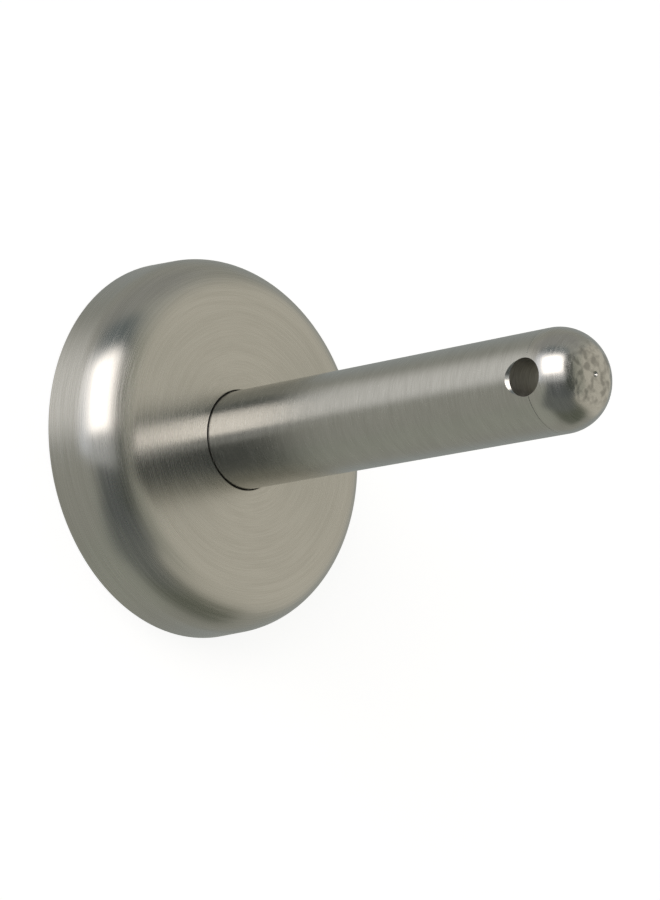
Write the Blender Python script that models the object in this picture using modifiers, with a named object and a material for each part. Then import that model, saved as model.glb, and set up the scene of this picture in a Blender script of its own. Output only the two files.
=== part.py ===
"""Floor door holder: a stainless pin on a screwed-down plate, with a loose domed rose over the plate.

Frame: +Z is up along the pin, the floor is z = 0, and the hook hole runs along Y.
All sizes are in metres. Pieces that touch on the real object stand FIT apart here.
"""

import math

import bmesh
import bpy
from mathutils import Matrix

MM = 0.001
FIT = 0.3 * MM  # gap kept between pieces that touch on the real object

# Pin: a brushed tube with a turned end cap
PIN_RADIUS = 8.0 * MM
TUBE_WALL = 2.0 * MM
PIN_HEIGHT = 86.6 * MM
CAP_SEAM_Z = 79.75 * MM  # where the cap meets the tube
CAP_CROWN_RADIUS = 1.6 * MM  # the flat middle of the dome
CAP_SPIGOT_LENGTH = 17.0 * MM
CENTRE_MARK_RADIUS = 0.55 * MM
CENTRE_MARK_DEPTH = 0.45 * MM
HOOK_HOLE_RADIUS = 2.9 * MM
HOOK_HOLE_Z = 79.2 * MM

# Rose: the spun cover over the mounting plate
ROSE_HEIGHT = 12.5 * MM
ROSE_WALL = 1.2 * MM
ROSE_FLAT_RADIUS = 23.2 * MM
ROSE_CORNER_RADIUS = 7.4 * MM
ROSE_SKIRT_LEAN = math.radians(2.2)
ROSE_HOLE_RADIUS = 8.3 * MM

# Guide ring bonded under the rose, round its hole
GUIDE_OUTER_RADIUS = 11.2 * MM
GUIDE_THICKNESS = 1.0 * MM

# Mounting plate and its hub
PLATE_RADIUS = 28.6 * MM
PLATE_THICKNESS = 6.0 * MM
HUB_RADIUS = 12.0 * MM
HUB_TOP_Z = 9.6 * MM
SOCKET_DEPTH = 1.5 * MM  # the tube stands this deep in the hub
COUNTERBORE_RADIUS = 7.4 * MM
COUNTERBORE_DEPTH = 5.8 * MM
FLOOR_SCREW_COUNT = 3
FLOOR_SCREW_CIRCLE_RADIUS = 20.0 * MM
FLOOR_SCREW_HOLE_RADIUS = 2.6 * MM
FLOOR_SCREW_HEAD_RADIUS = 5.2 * MM

# Rubber ring in the plate's rim, which grips the rose's skirt
GRIP_RING_Z = 3.2 * MM
GRIP_RING_CORD_RADIUS = 0.9 * MM

# Central screw, M8 with a low head, and its spring washer
SCREW_RADIUS = 4.0 * MM
SCREW_HEAD_RADIUS = 6.5 * MM
SCREW_HEAD_HEIGHT = 3.5 * MM
SCREW_HEAD_Z = 0.4 * MM
SCREW_TIP_Z = 26.0 * MM
SCREW_SOCKET_RADIUS = 2.9 * MM  # over the corners of its 5 mm hexagon
SCREW_SOCKET_DEPTH = 2.0 * MM
WASHER_THICKNESS = 1.2 * MM
WASHER_SPLIT = 1.0 * MM
FOOT_LENGTH = 20.0 * MM

ROUND_STEPS = 72  # sides of the rose and the plate
RING_STEPS = 60  # sides of the rubber and nylon rings
PIN_STEPS = 48  # sides of the pin and what is inside it
HOLE_STEPS = 24  # sides of the drilled holes
CORNER_STEPS = 8
DOME_STEPS = 10
CORD_STEPS = 8
CHAMFER = 0.4 * MM

# Heights that follow from the sizes above
TUBE_BOTTOM_Z = HUB_TOP_Z - SOCKET_DEPTH + FIT
TUBE_TOP_Z = CAP_SEAM_Z - FIT / 2
CAP_BOTTOM_Z = CAP_SEAM_Z + FIT / 2
TUBE_BORE_RADIUS = PIN_RADIUS - TUBE_WALL

STAINLESS = ((0.56, 0.53, 0.49), 0.30, 1.0)
POLISHED_STAINLESS = ((0.60, 0.58, 0.54), 0.20, 1.0)
ZINC_STEEL = ((0.48, 0.49, 0.50), 0.40, 1.0)
BLACK_STEEL = ((0.06, 0.06, 0.065), 0.45, 1.0)
BLACK_RUBBER = ((0.02, 0.02, 0.02), 0.75, 0.0)
BLACK_NYLON = ((0.03, 0.03, 0.03), 0.50, 0.0)


def clear_scene():
    for old in list(bpy.data.objects):
        bpy.data.objects.remove(old, do_unlink=True)


def new_collection(name):
    collection = bpy.data.collections.new(name)
    bpy.context.scene.collection.children.link(collection)
    return collection


def new_material(name, finish):
    colour, roughness, metallic = finish
    material = bpy.data.materials.new(name)
    material.use_nodes = True
    material.diffuse_color = (*colour, 1.0)
    shader = material.node_tree.nodes["Principled BSDF"]
    shader.inputs["Base Color"].default_value = (*colour, 1.0)
    shader.inputs["Roughness"].default_value = roughness
    shader.inputs["Metallic"].default_value = metallic
    return material


def arc(centre_r, centre_z, radius_r, radius_z, start, end, steps):
    """Points (r, z) of an elliptical arc, with angles in radians from the +r direction."""
    points = []
    for step in range(steps + 1):
        angle = start + (end - start) * step / steps
        r = centre_r + radius_r * math.cos(angle)
        z = centre_z + radius_z * math.sin(angle)
        points.append((r, z))
    return points


def turned(name, outline, steps, closed, collection):
    """A lathe piece: the outline of (r, z) points runs out, then down the outer side."""
    mesh = bpy.data.meshes.new(name)
    points = [(r, 0.0, z) for r, z in outline]
    edges = [(i, i + 1) for i in range(len(points) - 1)]
    if closed:
        edges.append((len(points) - 1, 0))
    mesh.from_pydata(points, edges, [])
    piece = bpy.data.objects.new(name, mesh)
    collection.objects.link(piece)
    screw = piece.modifiers.new("Turn", "SCREW")
    screw.axis = "Z"
    screw.angle = math.tau
    screw.steps = steps
    screw.render_steps = steps
    screw.use_merge_vertices = True
    screw.merge_threshold = 0.00001
    screw.use_smooth_shade = True
    return piece


def finish_piece(piece, finish):
    piece.data.materials.append(new_material(piece.name, finish))
    return piece


def make_cutter(cutter):
    cutter.hide_render = True
    cutter.display_type = "WIRE"
    return cutter


def cylinder_cutter(name, radius, length, steps, placement, collection):
    """A cylinder or prism along its own Z, centred on its origin and then placed by a matrix."""
    mesh = bpy.data.meshes.new(name)
    shape = bmesh.new()
    bmesh.ops.create_cone(
        shape, cap_ends=True, segments=steps, radius1=radius, radius2=radius, depth=length
    )
    shape.to_mesh(mesh)
    shape.free()
    cutter = bpy.data.objects.new(name, mesh)
    collection.objects.link(cutter)
    cutter.matrix_world = placement
    return make_cutter(cutter)


def cut(piece, cutter):
    boolean = piece.modifiers.new("Cut " + cutter.name, "BOOLEAN")
    boolean.operation = "DIFFERENCE"
    boolean.solver = "EXACT"
    boolean.object = cutter


def cover_rose(parts):
    """The spun cover: an open turned skin, thickened inwards by its sheet."""
    corner_z = ROSE_HEIGHT - ROSE_CORNER_RADIUS
    outline = [(ROSE_HOLE_RADIUS, ROSE_HEIGHT)]
    outline += arc(
        ROSE_FLAT_RADIUS,
        corner_z,
        ROSE_CORNER_RADIUS,
        ROSE_CORNER_RADIUS,
        math.pi / 2,
        ROSE_SKIRT_LEAN,
        CORNER_STEPS,
    )
    skirt_r, skirt_z = outline[-1]
    rim_z = ROSE_WALL * math.sin(ROSE_SKIRT_LEAN)  # the sheet's inner edge then meets the floor
    outline.append((skirt_r + (skirt_z - rim_z) * math.tan(ROSE_SKIRT_LEAN), rim_z))
    piece = turned("cover_rose", outline, ROUND_STEPS, False, parts)
    sheet = piece.modifiers.new("Sheet", "SOLIDIFY")
    sheet.thickness = ROSE_WALL
    sheet.offset = -1.0
    sheet.use_even_offset = True
    return finish_piece(piece, STAINLESS)


def cover_guide_ring(parts):
    """The nylon ring that keeps the rose centred on the pin and off its brushed face."""
    top = ROSE_HEIGHT - ROSE_WALL - FIT
    bottom = top - GUIDE_THICKNESS
    inner = PIN_RADIUS + FIT
    outline = [(inner, top), (GUIDE_OUTER_RADIUS, top), (GUIDE_OUTER_RADIUS, bottom), (inner, bottom)]
    piece = turned("cover_guide_ring", outline, RING_STEPS, True, parts)
    return finish_piece(piece, BLACK_NYLON)


def mounting_plate(parts, cutters):
    """The turned plate: hub and pin socket above, grooved rim, counterbore below, three screw holes."""
    groove_half = GRIP_RING_CORD_RADIUS + FIT
    groove_r = grip_ring_radius() - GRIP_RING_CORD_RADIUS - FIT
    socket_r = PIN_RADIUS + FIT
    socket_z = HUB_TOP_Z - SOCKET_DEPTH
    bore_r = SCREW_RADIUS + FIT
    outline = [
        (bore_r, socket_z),
        (socket_r, socket_z),
        (socket_r, HUB_TOP_Z),
        (HUB_RADIUS - CHAMFER, HUB_TOP_Z),
        (HUB_RADIUS, HUB_TOP_Z - CHAMFER),
        (HUB_RADIUS, PLATE_THICKNESS),
        (PLATE_RADIUS - CHAMFER, PLATE_THICKNESS),
        (PLATE_RADIUS, PLATE_THICKNESS - CHAMFER),
        (PLATE_RADIUS, GRIP_RING_Z + groove_half),
        (groove_r, GRIP_RING_Z + groove_half),
        (groove_r, GRIP_RING_Z - groove_half),
        (PLATE_RADIUS, GRIP_RING_Z - groove_half),
        (PLATE_RADIUS, CHAMFER),
        (PLATE_RADIUS - CHAMFER, 0.0),
        (COUNTERBORE_RADIUS, 0.0),
        (COUNTERBORE_RADIUS, COUNTERBORE_DEPTH),
        (bore_r, COUNTERBORE_DEPTH),
    ]
    piece = turned("mounting_plate", outline, ROUND_STEPS, True, parts)
    for index in range(FLOOR_SCREW_COUNT):
        angle = math.pi / 2 + math.tau * index / FLOOR_SCREW_COUNT
        cutter = countersink_cutter("floor_screw_hole_%d" % (index + 1), cutters)
        cutter.location.x = FLOOR_SCREW_CIRCLE_RADIUS * math.cos(angle)
        cutter.location.y = FLOOR_SCREW_CIRCLE_RADIUS * math.sin(angle)
        cut(piece, cutter)
    return finish_piece(piece, ZINC_STEEL)


def countersink_cutter(name, cutters):
    """Through hole with a 90 degree countersink whose mouth is at the plate's top face."""
    past = 1.0 * MM
    sink_depth = FLOOR_SCREW_HEAD_RADIUS - FLOOR_SCREW_HOLE_RADIUS
    outline = [
        (0.0, PLATE_THICKNESS + past),
        (FLOOR_SCREW_HEAD_RADIUS + past, PLATE_THICKNESS + past),
        (FLOOR_SCREW_HOLE_RADIUS, PLATE_THICKNESS - sink_depth),
        (FLOOR_SCREW_HOLE_RADIUS, -past),
        (0.0, -past),
    ]
    return make_cutter(turned(name, outline, HOLE_STEPS, False, cutters))


def grip_ring_radius():
    """Radius of the rubber ring's centre line, from the inside of the rose's skirt."""
    corner_z = ROSE_HEIGHT - ROSE_CORNER_RADIUS
    skirt_r = ROSE_FLAT_RADIUS + ROSE_CORNER_RADIUS * math.cos(ROSE_SKIRT_LEAN)
    skirt_at_ring = skirt_r + (corner_z - GRIP_RING_Z) * math.tan(ROSE_SKIRT_LEAN)
    return skirt_at_ring - ROSE_WALL - FIT - GRIP_RING_CORD_RADIUS


def cover_grip_ring(parts):
    """The rubber ring in the plate's groove."""
    outline = arc(
        grip_ring_radius(),
        GRIP_RING_Z,
        GRIP_RING_CORD_RADIUS,
        GRIP_RING_CORD_RADIUS,
        math.pi / 2,
        math.pi / 2 - math.tau,
        CORD_STEPS,
    )[:-1]
    piece = turned("cover_grip_ring", outline, RING_STEPS, True, parts)
    return finish_piece(piece, BLACK_RUBBER)


def hook_hole_cutter(cutters):
    along_y = Matrix.Translation((0.0, 0.0, HOOK_HOLE_Z)) @ Matrix.Rotation(math.pi / 2, 4, "X")
    length = 4 * PIN_RADIUS
    return cylinder_cutter("hook_hole", HOOK_HOLE_RADIUS, length, HOLE_STEPS, along_y, cutters)


def pin_tube(parts, hook_hole):
    """The brushed tube, which stands in the hub's socket."""
    outline = [
        (TUBE_BORE_RADIUS, TUBE_TOP_Z),
        (PIN_RADIUS, TUBE_TOP_Z),
        (PIN_RADIUS, TUBE_BOTTOM_Z),
        (TUBE_BORE_RADIUS, TUBE_BOTTOM_Z),
    ]
    piece = turned("pin_tube", outline, PIN_STEPS, True, parts)
    cut(piece, hook_hole)
    return finish_piece(piece, STAINLESS)


def pin_end_cap(parts, hook_hole):
    """The domed cap with its spigot in the tube, cross drilled together with the tube."""
    spigot_r = TUBE_BORE_RADIUS - FIT
    spigot_bottom = CAP_BOTTOM_Z - CAP_SPIGOT_LENGTH
    dome_r = PIN_RADIUS - CAP_CROWN_RADIUS
    dome_height = PIN_HEIGHT - CAP_BOTTOM_Z
    outline = [(0.0, PIN_HEIGHT - CENTRE_MARK_DEPTH), (CENTRE_MARK_RADIUS, PIN_HEIGHT)]
    outline += arc(
        CAP_CROWN_RADIUS, CAP_BOTTOM_Z, dome_r, dome_height, math.pi / 2, 0.0, DOME_STEPS
    )
    outline += [
        (spigot_r, CAP_BOTTOM_Z),
        (spigot_r, spigot_bottom + CHAMFER),
        (spigot_r - CHAMFER, spigot_bottom),
        (0.0, spigot_bottom),
    ]
    piece = turned("pin_end_cap", outline, PIN_STEPS, False, parts)
    cut(piece, hook_hole)
    return finish_piece(piece, POLISHED_STAINLESS)


def pin_foot(parts):
    """The plug in the tube's lower end, tapped for the central screw."""
    outer = TUBE_BORE_RADIUS - FIT
    inner = SCREW_RADIUS + FIT
    top = TUBE_BOTTOM_Z + FOOT_LENGTH
    outline = [(inner, top), (outer, top), (outer, TUBE_BOTTOM_Z), (inner, TUBE_BOTTOM_Z)]
    return finish_piece(turned("pin_foot", outline, PIN_STEPS, True, parts), ZINC_STEEL)


def central_screw(parts, cutters):
    """The low-head screw that pulls the pin down on the plate, from below."""
    head_top = SCREW_HEAD_Z + SCREW_HEAD_HEIGHT
    outline = [
        (0.0, SCREW_TIP_Z),
        (SCREW_RADIUS - CHAMFER, SCREW_TIP_Z),
        (SCREW_RADIUS, SCREW_TIP_Z - CHAMFER),
        (SCREW_RADIUS, head_top),
        (SCREW_HEAD_RADIUS, head_top),
        (SCREW_HEAD_RADIUS, SCREW_HEAD_Z + CHAMFER),
        (SCREW_HEAD_RADIUS - CHAMFER, SCREW_HEAD_Z),
        (0.0, SCREW_HEAD_Z),
    ]
    piece = turned("central_screw", outline, PIN_STEPS, False, parts)
    socket = cylinder_cutter(
        "screw_socket",
        SCREW_SOCKET_RADIUS,
        2 * SCREW_SOCKET_DEPTH,
        6,
        Matrix.Translation((0.0, 0.0, SCREW_HEAD_Z)),
        cutters,
    )
    cut(piece, socket)
    return finish_piece(piece, BLACK_STEEL)


def spring_washer(parts, cutters):
    """The split ring between the screw's head and the plate."""
    inner = SCREW_RADIUS + FIT
    bottom = SCREW_HEAD_Z + SCREW_HEAD_HEIGHT + FIT
    top = bottom + WASHER_THICKNESS
    outline = [(inner, top), (SCREW_HEAD_RADIUS, top), (SCREW_HEAD_RADIUS, bottom), (inner, bottom)]
    piece = turned("spring_washer", outline, PIN_STEPS, True, parts)
    middle = (inner + SCREW_HEAD_RADIUS) / 2
    slant = Matrix.Rotation(math.radians(25.0), 4, "X")
    placement = Matrix.Translation((middle, 0.0, (top + bottom) / 2)) @ slant
    size = (2 * middle, WASHER_SPLIT, 6 * WASHER_THICKNESS)
    cut(piece, box_cutter("washer_split", size, placement, cutters))
    return finish_piece(piece, BLACK_STEEL)


def box_cutter(name, size, placement, collection):
    mesh = bpy.data.meshes.new(name)
    shape = bmesh.new()
    bmesh.ops.create_cube(shape, size=1.0, matrix=Matrix.Diagonal((*size, 1.0)))
    shape.to_mesh(mesh)
    shape.free()
    cutter = bpy.data.objects.new(name, mesh)
    collection.objects.link(cutter)
    cutter.matrix_world = placement
    return make_cutter(cutter)


def build():
    clear_scene()
    parts = new_collection("floor_door_holder")
    cutters = new_collection("cutters")
    hook_hole = hook_hole_cutter(cutters)
    mounting_plate(parts, cutters)
    cover_grip_ring(parts)
    central_screw(parts, cutters)
    spring_washer(parts, cutters)
    pin_foot(parts)
    pin_tube(parts, hook_hole)
    pin_end_cap(parts, hook_hole)
    rose = cover_rose(parts)
    guide = cover_guide_ring(parts)
    guide.parent = rose


build()
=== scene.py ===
# %% [markdown]
# # A stainless floor door holder, finished in Blender
#
# A floor door holder is a short steel pin that stands on the floor beside an open door. A hook on
# the door drops into the hole across the pin. The pin stands on a plate that is screwed down, and
# a spun cover, the rose, hides the plate.
#
# This lesson starts from the engineering model of the holder, which gives every size, and puts a
# real surface on it: spun and brushed steel, a turned dome, a drilled hole, zinc, rubber and
# nylon. The engineering model stays where it is. Everything here is measured from it.

# %% Load the engineering model
import math

import bmesh
import bpy
from mathutils import Matrix, Vector


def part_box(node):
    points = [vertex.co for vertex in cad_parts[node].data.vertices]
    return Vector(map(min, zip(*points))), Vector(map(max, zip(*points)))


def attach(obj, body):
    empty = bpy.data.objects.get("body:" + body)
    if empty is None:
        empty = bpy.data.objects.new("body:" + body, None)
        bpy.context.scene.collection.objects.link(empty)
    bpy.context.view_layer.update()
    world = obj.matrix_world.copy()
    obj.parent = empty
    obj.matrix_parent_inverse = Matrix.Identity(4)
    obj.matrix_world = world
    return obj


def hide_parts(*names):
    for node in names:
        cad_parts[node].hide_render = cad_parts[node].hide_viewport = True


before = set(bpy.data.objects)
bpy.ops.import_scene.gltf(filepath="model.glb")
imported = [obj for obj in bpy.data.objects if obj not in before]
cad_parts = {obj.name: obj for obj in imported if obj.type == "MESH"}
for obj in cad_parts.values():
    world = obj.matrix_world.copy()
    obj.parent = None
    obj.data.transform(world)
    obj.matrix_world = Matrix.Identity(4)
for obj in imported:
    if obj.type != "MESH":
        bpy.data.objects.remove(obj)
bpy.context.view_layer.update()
MM = 0.001

print("nodes:", ", ".join(sorted(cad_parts)))

# %% [markdown]
# ## Reading the sizes
#
# Each piece of the model reports the box that it fills, and most of what a turned piece needs is
# in there: half the box's width is its radius, and the top and bottom are its ends. Reading the
# numbers this way, instead of typing them again, keeps the finish on the metal if the design
# changes.

# %% Radii and heights from the model
rose_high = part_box("cover_rose")[1]
tube_low, tube_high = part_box("pin_tube")
cap_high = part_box("pin_end_cap")[1]
plate_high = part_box("mounting_plate")[1]
grip_low, grip_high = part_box("cover_grip_ring")
guide_low, guide_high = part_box("cover_guide_ring")
screw_low, screw_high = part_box("central_screw")
washer_low, washer_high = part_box("spring_washer")
foot_low, foot_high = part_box("pin_foot")

pin_radius = tube_high.x
rose_radius = rose_high.x
rose_top = rose_high.z
pin_top = cap_high.z

print("pin radius %.2f mm, rose radius %.2f mm" % (pin_radius / MM, rose_radius / MM))

# %% [markdown]
# ## The camera
#
# A holder like this is usually pictured from above and to one side with a long lens, which keeps
# the pin from looking like a club. Here the camera is also rolled so that the pin lies across the
# frame. A camera's roll is awkward with rotation angles, so the three directions of its picture,
# right, up and back, are worked out as vectors and put into its matrix as columns.

# %% Camera directions
CAMERA_AZIMUTH = math.radians(10.87)
CAMERA_ELEVATION = math.radians(43.57)
CAMERA_ROLL = math.radians(-79.74)
CAMERA_DISTANCE = 593.8 * MM
CAMERA_LENS = 145.5
CAMERA_NEAR = 10 * MM
CAMERA_AIM = 22.75 * MM  # the lens looks at a point this far right of the pin's foot

camera_back = Vector(
    (
        math.sin(CAMERA_AZIMUTH) * math.cos(CAMERA_ELEVATION),
        -math.cos(CAMERA_AZIMUTH) * math.cos(CAMERA_ELEVATION),
        math.sin(CAMERA_ELEVATION),
    )
)
level_right = Vector((math.cos(CAMERA_AZIMUTH), math.sin(CAMERA_AZIMUTH), 0.0))
level_up = camera_back.cross(level_right)
picture_right = level_right * math.cos(CAMERA_ROLL) - level_up * math.sin(CAMERA_ROLL)
picture_up = level_right * math.sin(CAMERA_ROLL) + level_up * math.cos(CAMERA_ROLL)

print("camera looks down at %.1f degrees" % math.degrees(CAMERA_ELEVATION))

# %% Place the camera
camera_data = bpy.data.cameras.new("camera")
camera_data.lens = CAMERA_LENS
camera_data.clip_start = CAMERA_NEAR
camera = bpy.data.objects.new("camera", camera_data)
bpy.context.scene.collection.objects.link(camera)
bpy.context.scene.camera = camera

camera_place = picture_right * CAMERA_AIM + camera_back * CAMERA_DISTANCE
turn = Matrix((picture_right, picture_up, camera_back)).transposed()
camera.matrix_world = Matrix.Translation(camera_place) @ turn.to_4x4()

print("camera at", tuple(round(value, 3) for value in camera_place))

# %% [markdown]
# ## The studio
#
# Steel has hardly any colour of its own: what is seen on it is the room. So the room is designed
# first. It could be built from area lights and black cards, but each card would be one more
# object to hide from the camera. A world shader can hold the same studio as shapes on a sphere
# round the object: a large softbox beside the camera, dark gaps round it that give the metal its
# contrast, and fill on every other side. Each shape is a soft-edged rectangle seen in one
# direction, so one node group, used once for each shape, makes them all.

# %% Helpers for shader nodes
def feed(tree, socket, value):
    """Links another node's output to the socket, or sets a plain value on it."""
    if hasattr(value, "is_output"):
        tree.links.new(value, socket)
    else:
        socket.default_value = value


def add_node(tree, kind, **inputs):
    """Adds a node; its inputs go by name with _ for spaces, or by number as i0, i1, ..."""
    node = tree.nodes.new(kind)
    for key, value in inputs.items():
        numbered = key[0] == "i" and key[1:].isdigit()
        socket = node.inputs[int(key[1:])] if numbered else node.inputs[key.replace("_", " ")]
        feed(tree, socket, value)
    return node


def calculate(tree, operation, first, second=0.0):
    node = tree.nodes.new("ShaderNodeMath")
    node.operation = operation
    feed(tree, node.inputs[0], first)
    feed(tree, node.inputs[1], second)
    return node.outputs[0]


def mix_colours(tree, amount, first, second):
    """first where amount is 0, second where it is 1; each is a colour or a node's output."""
    mix = tree.nodes.new("ShaderNodeMix")
    mix.data_type = "RGBA"
    tree.links.new(amount, mix.inputs["Factor"])
    for socket, colour in ((mix.inputs["A"], first), (mix.inputs["B"], second)):
        feed(tree, socket, colour if hasattr(colour, "is_output") else (*colour, 1.0))
    return mix.outputs["Result"]


# %% The soft-edged rectangle as a node group
SMALLEST_DEPTH = 0.001  # keeps the division below from running off to infinity


def dot(tree, first, second):
    node = tree.nodes.new("ShaderNodeVectorMath")
    node.operation = "DOT_PRODUCT"
    tree.links.new(first, node.inputs[0])
    tree.links.new(second, node.inputs[1])
    return node.outputs["Value"]


def soft_edge(tree, value, half_width, softness):
    """1 inside half_width of zero, falling smoothly to 0 over softness outside it."""
    node = add_node(
        tree,
        "ShaderNodeMapRange",
        Value=calculate(tree, "ABSOLUTE", value),
        From_Min=half_width,
        From_Max=calculate(tree, "ADD", half_width, softness),
        To_Min=1.0,
        To_Max=0.0,
    )
    node.interpolation_type = "SMOOTHSTEP"
    return node.outputs["Result"]


def make_panel_group():
    tree = bpy.data.node_groups.new("studio_panel", "ShaderNodeTree")
    for name in ("Look", "Centre", "Across", "Upward"):
        tree.interface.new_socket(name, in_out="INPUT", socket_type="NodeSocketVector")
    for name in ("Half Width", "Half Height", "Softness"):
        tree.interface.new_socket(name, in_out="INPUT", socket_type="NodeSocketFloat")
    tree.interface.new_socket("Mask", in_out="OUTPUT", socket_type="NodeSocketFloat")
    into = tree.nodes.new("NodeGroupInput").outputs
    forward = dot(tree, into["Look"], into["Centre"])
    depth = calculate(tree, "MAXIMUM", forward, SMALLEST_DEPTH)
    across = calculate(tree, "DIVIDE", dot(tree, into["Look"], into["Across"]), depth)
    upward = calculate(tree, "DIVIDE", dot(tree, into["Look"], into["Upward"]), depth)
    wide = soft_edge(tree, across, into["Half Width"], into["Softness"])
    high = soft_edge(tree, upward, into["Half Height"], into["Softness"])
    mask = calculate(tree, "MULTIPLY", wide, high)
    front = calculate(tree, "GREATER_THAN", forward, 0.0)
    mask = calculate(tree, "MULTIPLY", mask, front)
    out = tree.nodes.new("NodeGroupOutput")
    tree.links.new(mask, out.inputs["Mask"])
    return tree


panel_group = make_panel_group()
print("studio panel group has", len(panel_group.nodes), "nodes")

# %% [markdown]
# The studio's panels are placed by the angles of a photographer beside the camera: so many
# degrees to the right of the lens and so many above it, measured in the picture's own directions.
# Light above the fill brightens and light below it darkens, as a black card does. Later panels
# lie over earlier ones, so the walls of the room come first, then the cards round the key light,
# and the large softbox and the strip under it last.

# %% The panels of the studio
FILL = (0.36, 0.36, 0.32)

# right, up, half width, half height (degrees), soft edge, twist (degrees), light
PANELS = {
    "behind": (180, 0, 30, 30, 0.60, 0, (0.35, 0.37, 0.36)),
    "low_left": (-60, -55, 30, 30, 0.50, 0, (0.38, 0.39, 0.34)),
    "low_right": (55, -55, 28, 25, 0.40, 0, (0.13, 0.14, 0.11)),
    "upper_left": (-60, 58, 25, 18, 0.40, 0, (0.44, 0.43, 0.39)),
    "upper_right": (60, 55, 25, 16, 0.40, 0, (0.42, 0.42, 0.38)),
    "top_shade": (12, 96, 30, 12, 0.25, 0, (0.34, 0.34, 0.32)),
    "warm_side_wall": (92, 0, 42, 32, 0.45, 0, (0.62, 0.59, 0.51)),
    "left_below": (-88, -20, 25, 10, 0.35, 0, (0.38, 0.38, 0.34)),
    "left_above": (-97, 24, 28, 8, 0.35, 0, (0.75, 0.74, 0.71)),
    "front_below": (0, -48, 28, 12, 0.35, 0, (0.16, 0.17, 0.16)),
    "right_near": (58, 10, 10, 25, 0.20, 0, (0.40, 0.40, 0.34)),
    "dark_below_key": (8, -16, 34, 13, 0.18, 6, (0.12, 0.13, 0.13)),
    "dark_right_of_key": (30, 18, 11, 30, 0.16, 0, (0.07, 0.08, 0.07)),
    "above_key": (-10, 62, 25, 9, 0.20, 0, (0.15, 0.18, 0.19)),
    "left_of_key": (-48, 26, 10, 22, 0.20, 0, (0.84, 0.87, 0.94)),
    "key_softbox": (-13, 32, 23, 19, 0.16, 6, (2.76, 2.62, 2.55)),
    "key_low_strip": (-10, 7, 28, 6, 0.08, 6, (0.52, 0.53, 0.53)),
}

print("studio has", len(PANELS), "panels")

# %% The world that holds the panels
def picture_direction(right, up):
    """The direction from the object that lies so many degrees right of and above the lens."""
    right, up = math.radians(right), math.radians(up)
    level = camera_back * math.cos(right) + picture_right * math.sin(right)
    return level * math.cos(up) + picture_up * math.sin(up)


def panel_axes(right, up, twist):
    centre = picture_direction(right, up)
    across = picture_up.cross(centre).normalized()
    upward = centre.cross(across)
    turned = Matrix.Rotation(math.radians(twist), 3, centre)
    return centre, turned @ across, turned @ upward


def make_world():
    world = bpy.data.worlds.new("studio")
    world.use_nodes = True
    tree = world.node_tree
    tree.nodes.clear()
    look = tree.nodes.new("ShaderNodeTexCoord").outputs["Generated"]
    light = FILL
    for name, (right, up, wide, high, softness, twist, colour) in PANELS.items():
        centre, across, upward = panel_axes(right, up, twist)
        panel = tree.nodes.new("ShaderNodeGroup")
        panel.node_tree = panel_group
        panel.label = name
        tree.links.new(look, panel.inputs["Look"])
        panel.inputs["Centre"].default_value = centre
        panel.inputs["Across"].default_value = across
        panel.inputs["Upward"].default_value = upward
        panel.inputs["Half Width"].default_value = math.tan(math.radians(wide))
        panel.inputs["Half Height"].default_value = math.tan(math.radians(high))
        panel.inputs["Softness"].default_value = softness
        light = mix_colours(tree, panel.outputs["Mask"], light, colour)
    studio = add_node(tree, "ShaderNodeBackground", Color=light, Strength=1.0)
    paper = add_node(tree, "ShaderNodeBackground", Color=(1.0, 1.0, 1.0, 1.0), Strength=1.0)
    seen = tree.nodes.new("ShaderNodeLightPath").outputs["Is Camera Ray"]
    choose = add_node(
        tree, "ShaderNodeMixShader", i0=seen, i1=studio.outputs[0], i2=paper.outputs[0]
    )
    add_node(tree, "ShaderNodeOutputWorld", Surface=choose.outputs[0])
    return world


world = make_world()
bpy.context.scene.world = world
bpy.context.scene.view_settings.view_transform = "Standard"
print("studio world has", len(world.node_tree.nodes), "nodes")

# %% [markdown]
# The floor is white paper. It glows a little by itself so that it stays white, and takes just
# enough of the room's light to show a faint shade where the rose touches it. It is kept out of
# the metal's reflections, because there the studio already holds a floor tone.

# %% The paper floor
FLOOR_HALF_SIZE = 3.0
FLOOR_TONE = (0.30, 0.30, 0.30, 1.0)
FLOOR_GLOW = 0.86
FLOOR_DROP = 0.2 * MM  # keeps the paper clear of the rose's rim


def new_surface(name, metallic):
    material = bpy.data.materials.new(name)
    material.use_nodes = True
    shader = material.node_tree.nodes["Principled BSDF"]
    shader.inputs["Metallic"].default_value = metallic
    return material, material.node_tree, shader


def make_floor():
    mesh = bpy.data.meshes.new("paper_floor")
    shape = bmesh.new()
    bmesh.ops.create_grid(shape, x_segments=2, y_segments=2, size=FLOOR_HALF_SIZE)
    shape.to_mesh(mesh)
    shape.free()
    floor = bpy.data.objects.new("paper_floor", mesh)
    bpy.context.scene.collection.objects.link(floor)
    material, _, shader = new_surface("white_paper", 0.0)
    shader.inputs["Base Color"].default_value = FLOOR_TONE
    shader.inputs["Roughness"].default_value = 1.0
    shader.inputs["Specular IOR Level"].default_value = 0.0
    shader.inputs["Emission Color"].default_value = (1.0, 1.0, 1.0, 1.0)
    shader.inputs["Emission Strength"].default_value = FLOOR_GLOW
    mesh.materials.append(material)
    floor.visible_glossy = False
    floor.location.z = -FLOOR_DROP
    return floor


floor = make_floor()
print("floor is %.0f m across" % (2 * FLOOR_HALF_SIZE))

# %% [markdown]
# ## Turned pieces
#
# Nearly every piece of the holder comes off a lathe or a spinning tool, so one tool makes them
# all here: an outline of radius and height, turned about the pin's axis by a Screw modifier. Real
# turned edges are never knife sharp, so a second helper rounds the corners of an outline with
# small curves before it is turned. Rounded outlines give cleaner highlights than a bevel put on
# afterwards, since each curve's points lie where the tool would leave them.

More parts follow.
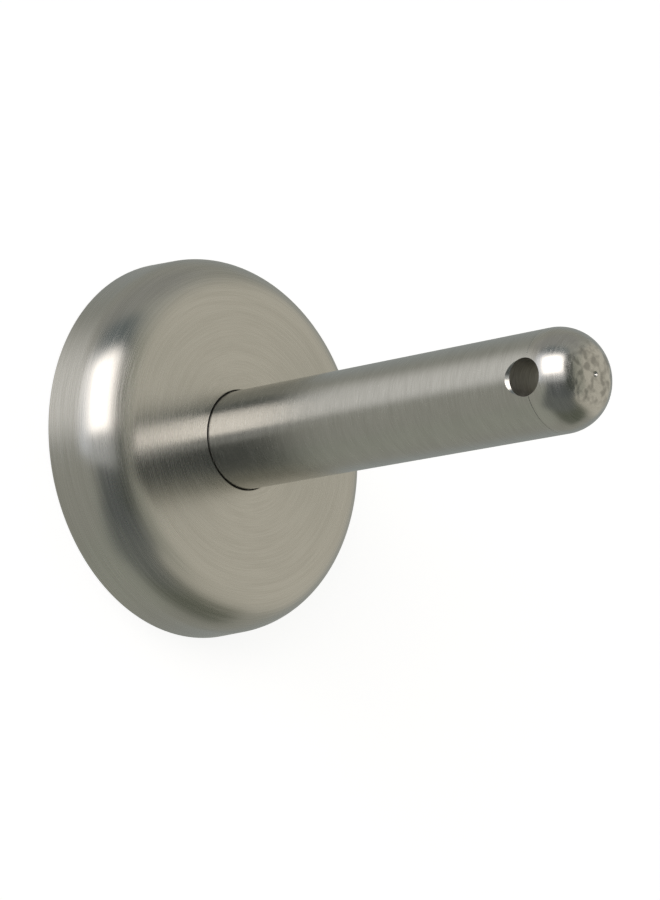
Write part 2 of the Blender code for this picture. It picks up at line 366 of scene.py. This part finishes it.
# %% Rounding an outline
CURVE_STEPS = 4
STRAIGHT_ABOVE = math.radians(165)  # flatter corners than this stay as they are
LARGEST_REACH = 0.45  # a curve takes at most this share of a side
SUPPORT_REACHES = 1.5  # the supporting points stand this many reaches from the corner
LARGEST_SUPPORT = 0.48  # but no further along a side than this share of it


def rounded(outline, radius, closed):
    """The outline with each corner replaced by a short curve that starts radius before it.

    A point just outside each curve keeps the shading of a long straight wall from bending with it.
    """
    points = [Vector(point) for point in outline]
    count = len(points)
    result = []
    for index, corner in enumerate(points):
        ends = not closed and index in (0, count - 1)
        before = points[index - 1] - corner
        after = points[(index + 1) % count] - corner
        if ends or before.angle(after) > STRAIGHT_ABOVE:
            result.append(corner)
            continue
        reach = min(radius, before.length * LARGEST_REACH, after.length * LARGEST_REACH)
        support = SUPPORT_REACHES * reach
        start = corner + before.normalized() * reach
        end = corner + after.normalized() * reach
        result.append(corner + before.normalized() * min(support, before.length * LARGEST_SUPPORT))
        for step in range(CURVE_STEPS + 1):
            t = step / CURVE_STEPS
            result.append(start * (1 - t) ** 2 + corner * 2 * t * (1 - t) + end * t**2)
        result.append(corner + after.normalized() * min(support, after.length * LARGEST_SUPPORT))
    return result


print("a rounded corner has", CURVE_STEPS + 3, "points")

# %% Turning an outline
TURN_STEPS = 256
WELD = 0.001 * MM


def turn_outline(name, outline, closed, steps=TURN_STEPS):
    mesh = bpy.data.meshes.new(name)
    edges = [(index, index + 1) for index in range(len(outline) - 1)]
    if closed:
        edges.append((len(outline) - 1, 0))
    mesh.from_pydata([(point[0], 0.0, point[1]) for point in outline], edges, [])
    piece = bpy.data.objects.new(name, mesh)
    bpy.context.scene.collection.objects.link(piece)
    screw = piece.modifiers.new("Turn", "SCREW")
    screw.axis = "Z"
    screw.angle = math.tau
    screw.steps = steps
    screw.render_steps = steps
    screw.use_merge_vertices = True
    screw.merge_threshold = WELD
    return piece


print("a turned piece has", TURN_STEPS, "steps round the axis")

# %% Settling a piece and handing it to the frame
SHARP_ABOVE = math.radians(30)


def settle(piece):
    """Makes the modifiers' result the piece's own mesh, smooth but for its sharp edges."""
    graph = bpy.context.evaluated_depsgraph_get()
    mesh = bpy.data.meshes.new_from_object(piece.evaluated_get(graph))
    piece.modifiers.clear()
    piece.data = mesh
    mesh.shade_smooth()
    mesh.set_sharp_from_angle(angle=SHARP_ABOVE)
    return piece


def finish_piece(piece, body, node, slot, *materials):
    """Gives the piece its metal, hangs it on the body that it rides on, and hides the model's part
    that it replaces.
    """
    piece.data.materials.clear()
    for material in materials:
        piece.data.materials.append(material)
    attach(piece, body)
    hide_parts(node)
    print(piece.name, len(piece.data.polygons), "faces")


# %% [markdown]
# ## The rose
#
# The rose is spun from a flat disc of thin stainless sheet pressed over a former: flat on top,
# one round corner, a skirt that leans out a little so that it comes off the former, and a hole in
# the middle for the pin. The skin is the same thickness everywhere, so only the outer outline is
# drawn and the inner one is the same line set in by the sheet. The edges at the hole and at the
# floor are cut and deburred, so they get a small round.

# %% The rose's outline
ROSE_SHEET = 1.2 * MM
ROSE_CORNER = 7.4 * MM
ROSE_LEAN = 2.2  # degrees
ROSE_FLAT = 23.2 * MM
ROSE_GAP = 0.16 * MM
ROSE_HOLE = pin_radius + ROSE_GAP
OUTER_ARC_STEPS = 40
INNER_ARC_STEPS = 30
SHEET_ROUND = 0.15 * MM


def arc(centre, radii, start, end, steps):
    """Points of an elliptical arc between two angles in degrees, 0 being straight outwards."""
    points = []
    for step in range(steps + 1):
        angle = math.radians(start + (end - start) * step / steps)
        across, up = radii[0] * math.cos(angle), radii[1] * math.sin(angle)
        points.append((centre[0] + across, centre[1] + up))
    return points


def rose_outline():
    corner = (ROSE_FLAT, rose_top - ROSE_CORNER)
    lean = math.tan(math.radians(ROSE_LEAN))
    outer = arc(corner, (ROSE_CORNER, ROSE_CORNER), 90, ROSE_LEAN, OUTER_ARC_STEPS)
    inner_radius = ROSE_CORNER - ROSE_SHEET
    inner = arc(corner, (inner_radius, inner_radius), ROSE_LEAN, 90, INNER_ARC_STEPS)
    rim_outer = (outer[-1][0] + outer[-1][1] * lean, 0.0)
    rim_inner = (inner[0][0] + inner[0][1] * lean, 0.0)
    hole_top = (ROSE_HOLE, rose_top)
    hole_bottom = (ROSE_HOLE, rose_top - ROSE_SHEET)
    return [hole_top, *outer, rim_outer, rim_inner, *inner, hole_bottom]


rose = settle(turn_outline("rose_shell", rounded(rose_outline(), SHEET_ROUND, True), True))
print("rose skin is %.1f mm thick" % (ROSE_SHEET / MM))

# %% [markdown]
# ## Brushed stainless
#
# The rose is brushed while it spins, so its scratches are rings round the axis. Three things show
# it: fine rings in the relief, streaks of slightly different gloss, and above all a highlight
# that smears across the scratches. The shader's anisotropy does the smearing, and the tangent
# node says which way the rings run. The rings are noise that depends on radius and height alone,
# with a slow drift round the circle so that no ring is perfect.

# %% Noise in rings
NEAREST_AXIS = 0.01 * MM  # keeps the division on the axis itself harmless


def object_axes(tree):
    place = add_node(tree, "ShaderNodeTexCoord").outputs["Object"]
    return add_node(tree, "ShaderNodeSeparateXYZ", Vector=place).outputs


def ring_noise(tree, fineness, drift):
    """Noise in rings round Z: fineness in rings per metre, drift in changes round a turn."""
    x, y, z = object_axes(tree)
    x_squared = calculate(tree, "POWER", x, 2.0)
    y_squared = calculate(tree, "POWER", y, 2.0)
    radius = calculate(tree, "SQRT", calculate(tree, "ADD", x_squared, y_squared))
    safe = calculate(tree, "MAXIMUM", radius, NEAREST_AXIS)
    around_x = calculate(tree, "MULTIPLY", calculate(tree, "DIVIDE", x, safe), drift)
    around_y = calculate(tree, "MULTIPLY", calculate(tree, "DIVIDE", y, safe), drift)
    outwards = calculate(tree, "MULTIPLY", radius, fineness)
    spot = add_node(tree, "ShaderNodeCombineXYZ", X=outwards, Y=around_x, Z=around_y)
    noise = tree.nodes.new("ShaderNodeTexNoise")
    noise.noise_dimensions = "4D"
    noise.inputs["Scale"].default_value = 1.0
    tree.links.new(spot.outputs[0], noise.inputs["Vector"])
    tree.links.new(calculate(tree, "MULTIPLY", z, fineness), noise.inputs["W"])
    return noise.outputs[0]


# %% Noise in grains, and what noise drives
def grain_noise(tree, per_metre, detail=3.0):
    """Noise with a different fineness along x, y and z."""
    place = add_node(tree, "ShaderNodeTexCoord").outputs["Object"]
    stretched = tree.nodes.new("ShaderNodeVectorMath")
    stretched.operation = "MULTIPLY"
    tree.links.new(place, stretched.inputs[0])
    stretched.inputs[1].default_value = per_metre
    noise = add_node(
        tree, "ShaderNodeTexNoise", Vector=stretched.outputs[0], Scale=1.0, Detail=detail
    )
    return noise.outputs[0]


def spread(tree, value, low, high, start=0.3, end=0.7):
    """Stretches noise, which lies mostly between 0.3 and 0.7, over low to high."""
    stretch = add_node(
        tree,
        "ShaderNodeMapRange",
        Value=value,
        From_Min=start,
        From_Max=end,
        To_Min=low,
        To_Max=high,
    )
    return stretch.outputs["Result"]


def add_relief(tree, shader, height, strength, depth):
    bump = add_node(tree, "ShaderNodeBump", Height=height, Strength=strength, Distance=depth)
    tree.links.new(bump.outputs[0], shader.inputs["Normal"])


# %% A material for metal brushed round its axis
SMEAR_TURN = 0.25  # a quarter turn, so that the smear lies across the rings
FINE_DRIFT = 3.0
BROAD_DRIFT = 1.2
BROAD_FINENESS = 0.2  # the broad rings are five times as wide as the fine ones
BROAD_SHARE = 0.5
BOTH_RANGE = (0.6, 0.9)  # where the sum of fine and broad mostly lies
RING_DEPTH = 0.02 * MM
DENT_DARKENING = 0.75
DENT_TONE = 0.5  # share of the dark rings' colour
DENT_DEPTH = 30.0  # in the ring noise's own height


def brushed_steel(name, dark, light, gloss, smear, relief, pitch, wear=None):
    """gloss is (smoothest, roughest), smear the anisotropy, pitch the rings' spacing in metres."""
    material, tree, shader = new_surface(name, 1.0)
    shader.inputs["Anisotropic"].default_value = smear
    shader.inputs["Anisotropic Rotation"].default_value = SMEAR_TURN
    rings = tree.nodes.new("ShaderNodeTangent")
    rings.direction_type = "RADIAL"
    rings.axis = "Z"
    tree.links.new(rings.outputs[0], shader.inputs["Tangent"])
    fine = ring_noise(tree, 1.0 / pitch, FINE_DRIFT)
    broad = ring_noise(tree, BROAD_FINENESS / pitch, BROAD_DRIFT)
    both = calculate(tree, "ADD", fine, calculate(tree, "MULTIPLY", broad, BROAD_SHARE))
    colour = mix_colours(tree, spread(tree, both, 0.0, 1.0, *BOTH_RANGE), dark, light)
    if wear:
        dents = wear(tree)
        amount = calculate(tree, "MULTIPLY", dents, DENT_DARKENING)
        colour = mix_colours(tree, amount, colour, [DENT_TONE * part for part in dark])
        both = calculate(tree, "SUBTRACT", both, calculate(tree, "MULTIPLY", dents, DENT_DEPTH))
    tree.links.new(colour, shader.inputs["Base Color"])
    tree.links.new(spread(tree, fine, *gloss), shader.inputs["Roughness"])
    add_relief(tree, shader, both, relief, RING_DEPTH)
    return material


# %% A material for plated, moulded and drilled surfaces
GRAIN_DEPTH = 0.03 * MM


def grained(name, metallic, dark, light, gloss, per_metre, relief, depth=GRAIN_DEPTH):
    material, tree, shader = new_surface(name, metallic)
    grain = grain_noise(tree, per_metre)
    colour = mix_colours(tree, spread(tree, grain, 0.0, 1.0), dark, light)
    tree.links.new(colour, shader.inputs["Base Color"])
    tree.links.new(spread(tree, grain, *gloss), shader.inputs["Roughness"])
    add_relief(tree, shader, grain, relief, depth)
    return material


# %% [markdown]
# The inside of the rose is never brushed. It keeps the dull grey skin that the sheet had when it
# was rolled, with a faint grain in no direction. Both surfaces belong to one piece of sheet, so
# the faces that look inwards or down simply get the second material.

# %% Brushed outside, rolled inside
LOOKS_INWARD = -0.1

rose_steel = brushed_steel(
    "brushed_rose",
    dark=(0.55, 0.54, 0.505),
    light=(0.61, 0.60, 0.565),
    gloss=(0.24, 0.30),
    smear=0.88,
    relief=0.05,
    pitch=0.22 * MM,
)
rolled_sheet = grained(
    "rolled_sheet",
    metallic=1.0,
    dark=(0.40, 0.40, 0.385),
    light=(0.48, 0.475, 0.46),
    gloss=(0.38, 0.5),
    per_metre=(900,) * 3,
    relief=0.15,
)
finish_piece(rose, "rose", "cover_rose", "brushed_rose", rose_steel, rolled_sheet)
for face in rose.data.polygons:
    outward = Vector((face.center.x, face.center.y, 0.0)).normalized() + Vector((0.0, 0.0, 1.0))
    if face.normal.dot(outward) < LOOKS_INWARD:
        face.material_index = 1
print("inside faces:", sum(face.material_index for face in rose.data.polygons))

# %% [markdown]
# ## The pin
#
# The pin is a piece of stainless tube with a turned, domed cap pressed into its end, and the hook
# hole is drilled across both after they are joined. The joint shows as a fine dark line where the
# dome starts. Cap and tube are turned as separate pieces, whose edges at the joint are lightly
# broken, so the line is a real groove that catches light and shade by itself.

# %% The tube
TUBE_BORE = 6.0 * MM
SEAM_HALF_GAP = 0.015 * MM
SEAM_ROUND = 0.06 * MM
MODEL_HALF_GAP = 0.15 * MM  # the model leaves this much either side of the joint
seam_z = tube_high.z + MODEL_HALF_GAP

tube_outline = [
    (TUBE_BORE, seam_z - SEAM_HALF_GAP),
    (pin_radius, seam_z - SEAM_HALF_GAP),
    (pin_radius, tube_low.z),
    (TUBE_BORE, tube_low.z),
]
tube = turn_outline("pin_tube_wall", rounded(tube_outline, SEAM_ROUND, True), True)
print("seam at %.2f mm" % (seam_z / MM))

# %% The domed cap
CROWN_FLAT = 1.6 * MM
MARK_RADIUS = 0.5 * MM
MARK_DEPTH = 0.4 * MM
MARK_TIP_RADIUS = MARK_RADIUS * 0.25
MARK_TIP_DEPTH = MARK_DEPTH * 0.9
DOME_STEPS = 48
SPIGOT_GAP = 0.01 * MM
SPIGOT_RADIUS = TUBE_BORE - SPIGOT_GAP
SPIGOT_LENGTH = 17.0 * MM

cap_base = seam_z + SEAM_HALF_GAP
dome = arc((CROWN_FLAT, cap_base), (pin_radius - CROWN_FLAT, pin_top - cap_base), 90, 0, DOME_STEPS)
cap_outline = [
    (0.0, pin_top - MARK_DEPTH),
    (MARK_TIP_RADIUS, pin_top - MARK_TIP_DEPTH),
    (MARK_RADIUS, pin_top),
    *dome,
    (SPIGOT_RADIUS, cap_base),
    (SPIGOT_RADIUS, cap_base - SPIGOT_LENGTH),
    (0.0, cap_base - SPIGOT_LENGTH),
]
cap = turn_outline("pin_cap_dome", rounded(cap_outline, SEAM_ROUND, False), False)
print("dome is %.1f mm high" % ((pin_top - cap_base) / MM))

# %% [markdown]
# The drill leaves a sharp rim where it comes out through the round wall, and the maker breaks it
# with a conical tool. The wall curves away from that tool at the sides of the hole, so it cuts
# widest towards the two ends of the pin and hardly at all beside them. The same cone used as a
# Boolean cutter gives the same crescents, with no bevel to tune.

# %% Drill and deburr
HOOK_HOLE_RADIUS = 2.9 * MM
HOOK_HOLE_Z = 79.2 * MM
BREAK_WIDTH = 0.5 * MM  # widest part of the broken edge
CONE_REACH = 0.8 * MM  # how far the cone goes past the pin's skin
CUTTER_STEPS = 97  # shares no angle with the turned pieces, so no edges of the two fall together
CUTTER_TURN = math.radians(1.3)


def cut_with(piece, *cutters):
    for cutter in cutters:
        hole = piece.modifiers.new(cutter.name, "BOOLEAN")
        hole.operation = "DIFFERENCE"
        hole.solver = "EXACT"
        hole.object = cutter
    settle(piece)
    shape = bmesh.new()
    shape.from_mesh(piece.data)
    bmesh.ops.remove_doubles(shape, verts=shape.verts, dist=WELD)
    bmesh.ops.dissolve_degenerate(shape, edges=shape.edges, dist=WELD)
    open_edges = sum(not edge.is_manifold for edge in shape.edges)
    shape.to_mesh(piece.data)
    shape.free()
    piece.data.set_sharp_from_angle(angle=SHARP_ABOVE)
    for cutter in cutters:
        bpy.data.objects.remove(cutter, do_unlink=True)
    print(piece.name, "cut:", len(piece.data.polygons), "faces,", open_edges, "open edges")


def make_drill():
    """Drill and both cones as one turned cutter, laid along y."""
    wide = HOOK_HOLE_RADIUS + BREAK_WIDTH + CONE_REACH
    cone_end = pin_radius + CONE_REACH
    cone_start = pin_radius - BREAK_WIDTH
    outline = [
        (0.0, cone_end),
        (wide, cone_end),
        (HOOK_HOLE_RADIUS, cone_start),
        (HOOK_HOLE_RADIUS, -cone_start),
        (wide, -cone_end),
        (0.0, -cone_end),
    ]
    cutter = settle(turn_outline("drill", outline, False, CUTTER_STEPS))
    own_turn = Matrix.Rotation(CUTTER_TURN, 4, "Z")
    along_y = Matrix.Translation((0, 0, HOOK_HOLE_Z)) @ Matrix.Rotation(math.pi / 2, 4, "X")
    cutter.matrix_world = along_y @ own_turn
    return cutter


for piece in (tube, cap):
    cut_with(piece, make_drill())


# %% [markdown]
# Three finishes meet at this end. The tube is brushed like the rose but is a little glossier and
# smears less. The cap is turned and half polished, and its crown is worn and slightly pitted
# round the lathe's centre mark, so some soft dents fade in over the last millimetre. The drilled
# wall is dull and coarse, with marks that circle the hole's own axis: noise that changes quickly
# along y and slowly across it.

# %% Steel of the tube, the cap and the drilled wall
CROWN_WEAR_START = pin_top - 1.4 * MM
CROWN_WEAR_FULL = pin_top - 0.5 * MM
CROWN_DENTS_PER_METRE = 800.0
CROWN_DENT_RANGE = (0.45, 0.65)


def crown_wear(tree):
    """1 in the soft dents of the crown, fading to 0 down the dome."""
    pits = grain_noise(tree, (CROWN_DENTS_PER_METRE,) * 3, 1.0)
    dents = spread(tree, pits, 0.0, 1.0, *CROWN_DENT_RANGE)
    fade = spread(tree, object_axes(tree)[2], 0.0, 1.0, CROWN_WEAR_START, CROWN_WEAR_FULL)
    return calculate(tree, "MULTIPLY", dents, fade)


pin_steel = brushed_steel(
    "brushed_pin",
    dark=(0.52, 0.515, 0.485),
    light=(0.585, 0.58, 0.55),
    gloss=(0.22, 0.28),
    smear=0.7,
    relief=0.035,
    pitch=0.25 * MM,
)
cap_steel = brushed_steel(
    "turned_cap",
    dark=(0.55, 0.54, 0.51),
    light=(0.61, 0.60, 0.57),
    gloss=(0.21, 0.29),
    smear=0.1,
    relief=0.08,
    pitch=0.2 * MM,
    wear=crown_wear,
)
drilled_steel = grained(
    "drilled_wall",
    metallic=1.0,
    dark=(0.40, 0.39, 0.36),
    light=(0.62, 0.61, 0.57),
    gloss=(0.38, 0.55),
    per_metre=(500, 7000, 500),
    relief=0.6,
)

# %% Hand over the pin
ON_THE_DRILL = 0.03 * MM
ACROSS_THE_DRILL = 0.2


def mark_drilled_faces(piece):
    """The faces on the drill's cylinder, inside the broken mouth, get the second material."""
    for face in piece.data.polygons:
        off_axis = math.hypot(face.center.x, face.center.z - HOOK_HOLE_Z)
        on_drill = abs(off_axis - HOOK_HOLE_RADIUS) < ON_THE_DRILL
        if on_drill and abs(face.normal.y) < ACROSS_THE_DRILL:
            face.material_index = 1


finish_piece(tube, "base", "pin_tube", "brushed_pin", pin_steel, drilled_steel)
finish_piece(cap, "base", "pin_end_cap", "turned_cap", cap_steel, drilled_steel)
mark_drilled_faces(tube)
mark_drilled_faces(cap)

# %% [markdown]
# ## Under the rose
#
# The mounting plate is a turned steel disc with a hub, zinc plated against rust. Three
# countersunk holes take the floor screws, a groove in its rim holds the grip ring, and a
# counterbore below hides the central screw. Zinc plating is bluish and cloudy, so it is a ringed
# steel with little smear.

# %% Sizes of the mounting plate
EDGE_ROUND = 0.3 * MM
SNUG = 0.05 * MM  # gap between pieces that touch
HUB_RADIUS = 12.0 * MM
PLATE_THICKNESS = 6.0 * MM
SOCKET_FLOOR = tube_low.z - SNUG
COUNTERBORE_RADIUS = 7.4 * MM
COUNTERBORE_DEPTH = 5.8 * MM
SCREW_HOLE_RADIUS = 4.3 * MM
FLOOR_HOLE_CIRCLE = 20.0 * MM
FLOOR_HOLE_RADIUS = 2.6 * MM
SINK_RADIUS = 5.2 * MM
FLOOR_HOLE_ANGLES = (90, 210, 330)

plate_radius = plate_high.x
hub_top = plate_high.z
groove_top = grip_high.z + SNUG
groove_bottom = grip_low.z - SNUG
groove_radius = grip_high.x - (grip_high.z - grip_low.z) - SNUG
print("plate radius %.1f mm, groove radius %.1f mm" % (plate_radius / MM, groove_radius / MM))

# %% Turn the plate and drill it
OVERSHOOT = 1.0 * MM  # cutters go this far past the plate


def countersink(angle):
    outline = [
        (0.0, PLATE_THICKNESS + OVERSHOOT),
        (SINK_RADIUS + OVERSHOOT, PLATE_THICKNESS + OVERSHOOT),
        (FLOOR_HOLE_RADIUS, PLATE_THICKNESS + FLOOR_HOLE_RADIUS - SINK_RADIUS),
        (FLOOR_HOLE_RADIUS, -OVERSHOOT),
        (0.0, -OVERSHOOT),
    ]
    cutter = settle(turn_outline("countersink_%d" % angle, outline, False, CUTTER_STEPS))
    cutter.location.x = FLOOR_HOLE_CIRCLE * math.cos(math.radians(angle))
    cutter.location.y = FLOOR_HOLE_CIRCLE * math.sin(math.radians(angle))
    cutter.rotation_euler.z = CUTTER_TURN
    return cutter


plate_outline = [
    (SCREW_HOLE_RADIUS, SOCKET_FLOOR),
    (pin_radius + SNUG, SOCKET_FLOOR),
    (pin_radius + SNUG, hub_top),
    (HUB_RADIUS, hub_top),
    (HUB_RADIUS, PLATE_THICKNESS),
    (plate_radius, PLATE_THICKNESS),
    (plate_radius, groove_top),
    (groove_radius, groove_top),
    (groove_radius, groove_bottom),
    (plate_radius, groove_bottom),
    (plate_radius, 0.0),
    (COUNTERBORE_RADIUS, 0.0),
    (COUNTERBORE_RADIUS, COUNTERBORE_DEPTH),
    (SCREW_HOLE_RADIUS, COUNTERBORE_DEPTH),
]
plate = turn_outline("turned_plate", rounded(plate_outline, EDGE_ROUND, True), True)
cut_with(plate, *[countersink(angle) for angle in FLOOR_HOLE_ANGLES])

zinc = brushed_steel(
    "zinc_steel",
    dark=(0.40, 0.42, 0.44),
    light=(0.54, 0.56, 0.58),
    gloss=(0.26, 0.40),
    smear=0.35,
    relief=0.12,
    pitch=0.35 * MM,
)
finish_piece(plate, "base", "mounting_plate", "zinc_steel", zinc)

# %% [markdown]
# The central screw comes up through the plate into the foot, a tapped steel plug in the tube. Its
# low head has a hexagon socket, and a split spring washer under the head keeps it tight. Screw
# and washer are blackened, which leaves a matt, faintly mottled skin.

# %% The central screw
SCREW_RADIUS = 4.0 * MM
SCREW_HEAD_RADIUS = screw_high.x
SCREW_HEAD_TOP = screw_low.z + 3.5 * MM
SOCKET_RADIUS = 2.9 * MM
SOCKET_DEPTH = 2.0 * MM
HEXAGON_SIDES = 6

screw_outline = [
    (0.0, screw_high.z),
    (SCREW_RADIUS, screw_high.z),
    (SCREW_RADIUS, SCREW_HEAD_TOP),
    (SCREW_HEAD_RADIUS, SCREW_HEAD_TOP),
    (SCREW_HEAD_RADIUS, screw_low.z),
    (0.0, screw_low.z),
]
screw = turn_outline("low_head_screw", rounded(screw_outline, EDGE_ROUND, False), False)
socket_outline = [
    (0.0, screw_low.z + SOCKET_DEPTH),
    (SOCKET_RADIUS, screw_low.z + SOCKET_DEPTH),
    (SOCKET_RADIUS, screw_low.z - SOCKET_DEPTH),
    (0.0, screw_low.z - SOCKET_DEPTH),
]
cut_with(screw, settle(turn_outline("hexagon", socket_outline, False, HEXAGON_SIDES)))

# %% The split washer and the foot
SPLIT_WIDTH = 1.0 * MM
SPLIT_SLANT = math.radians(25)
SPLIT_HEIGHT = 8.0 * MM
WASHER_ROUND = 0.15 * MM


def ring_outline(bore, low, high):
    """A plain ring with this bore, whose outside fills a box of the model."""
    return [(bore, high.z), (high.x, high.z), (high.x, low.z), (bore, low.z)]


washer_outline = ring_outline(SCREW_HOLE_RADIUS, washer_low, washer_high)
washer = turn_outline("split_washer", rounded(washer_outline, WASHER_ROUND, True), True)


def make_split():
    middle = (SCREW_HOLE_RADIUS + washer_high.x) / 2
    height = (washer_low.z + washer_high.z) / 2
    slant = Matrix.Rotation(SPLIT_SLANT, 4, "X")
    size = Matrix.Diagonal((2 * middle, SPLIT_WIDTH, SPLIT_HEIGHT, 1.0))
    place = Matrix.Translation((middle, 0, height)) @ slant @ size
    mesh = bpy.data.meshes.new("split")
    shape = bmesh.new()
    bmesh.ops.create_cube(shape, size=1.0, matrix=place)
    shape.to_mesh(mesh)
    shape.free()
    split = bpy.data.objects.new("split", mesh)
    bpy.context.scene.collection.objects.link(split)
    return split


cut_with(washer, make_split())

foot_outline = ring_outline(SCREW_HOLE_RADIUS, foot_low, foot_high)
foot = settle(turn_outline("tapped_foot", rounded(foot_outline, EDGE_ROUND, True), True))

# %% Blackened steel
black = grained(
    "black_steel",
    metallic=1.0,
    dark=(0.03, 0.03, 0.032),
    light=(0.075, 0.075, 0.08),
    gloss=(0.34, 0.5),
    per_metre=(1500,) * 3,
    relief=0.2,
)
finish_piece(screw, "base", "central_screw", "black_steel", black)
finish_piece(washer, "base", "spring_washer", "black_steel", black)
finish_piece(foot, "base", "pin_foot", "zinc_steel", zinc)

# %% [markdown]
# Two rings keep the rose in place. The rubber grip ring in the plate's groove holds the skirt by
# friction, and the nylon guide ring under the rose runs on the pin when the rose is lifted.
# Rubber is matt with a fine grain from its mould. Nylon is smoother and a little waxy.

# %% The grip ring and the guide ring
GRIP_SIDES = 32
cord = (grip_high.z - grip_low.z) / 2
grip_centre = (grip_high.x - cord, (grip_high.z + grip_low.z) / 2)
cord_outline = arc(grip_centre, (cord, cord), 90, 90 - 360, GRIP_SIDES)[:-1]
grip = settle(turn_outline("grip_ring", cord_outline, True))

GUIDE_GAP = 0.3 * MM
GUIDE_ROUND = 0.2 * MM
guide_outline = ring_outline(pin_radius + GUIDE_GAP, guide_low, guide_high)
guide = settle(turn_outline("guide_ring", rounded(guide_outline, GUIDE_ROUND, True), True))

# %% Rubber and nylon
rubber = grained(
    "rubber",
    metallic=0.0,
    dark=(0.014, 0.014, 0.014),
    light=(0.026, 0.026, 0.026),
    gloss=(0.68, 0.85),
    per_metre=(4000,) * 3,
    relief=0.3,
)
nylon = grained(
    "nylon",
    metallic=0.0,
    dark=(0.022, 0.022, 0.022),
    light=(0.034, 0.034, 0.034),
    gloss=(0.40, 0.52),
    per_metre=(2500,) * 3,
    relief=0.12,
    depth=0.02 * MM,
)
finish_piece(grip, "base", "cover_grip_ring", "rubber", rubber)
finish_piece(guide, "rose", "cover_guide_ring", "nylon", nylon)
